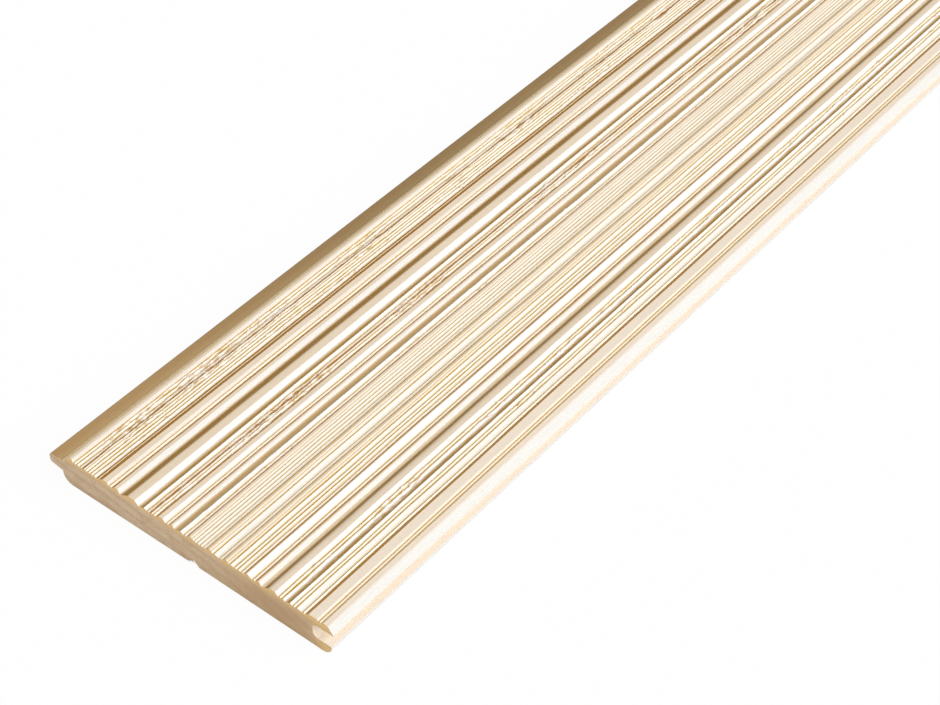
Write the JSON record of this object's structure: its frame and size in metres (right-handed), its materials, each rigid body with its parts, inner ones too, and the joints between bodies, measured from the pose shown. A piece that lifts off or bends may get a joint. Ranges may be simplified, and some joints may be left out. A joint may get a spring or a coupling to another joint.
{
  "type": "striated tongue and groove panelling board",
  "caption": "Long softwood panelling board with a milled striated face, a tongue on one edge, a groove on the other and a relief kerf along its back.",
  "frame": {"origin": "middle of the board's length and overall width, on the plane of its back", "axes": "+X across the width from the tongue to the groove, +Y along the length, +Z out of the striated face"},
  "size_m": [0.146, 1.8, 0.016],
  "materials": {
    "softwood": "pale planed softwood, unfinished, with golden lines in its milled striae and tan end grain"
  },
  "bodies": {
    "root": {"panel": "softwood"}
  },
  "joints": []
}
